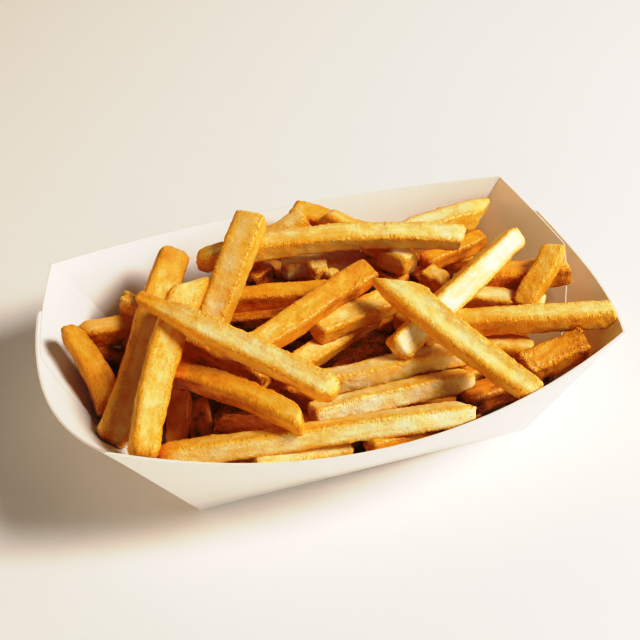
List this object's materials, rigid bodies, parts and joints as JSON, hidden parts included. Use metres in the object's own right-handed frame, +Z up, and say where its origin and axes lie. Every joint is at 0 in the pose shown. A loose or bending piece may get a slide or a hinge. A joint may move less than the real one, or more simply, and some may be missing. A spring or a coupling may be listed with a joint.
{
  "type": "french fries in a paper food tray",
  "caption": "Loose heap of straight-cut french fries in an open boat-shaped paperboard tray with outward-leaning, bowed walls and glued end flaps.",
  "frame": {"origin": "middle of the tray's flat base, on the surface it stands on", "axes": "+X along the tray's length to its right end, +Y to its back long wall, +Z up"},
  "size_m": [0.2, 0.1346, 0.0584],
  "materials": {
    "board": "smooth white food-tray paperboard, matt with a faint fibre grain",
    "potato": "crisp fried potato, creamy yellow faces with golden-brown edges and ends, slightly oily"
  },
  "bodies": {
    "root": {"carton": "board", "fries": "potato"}
  },
  "joints": []
}
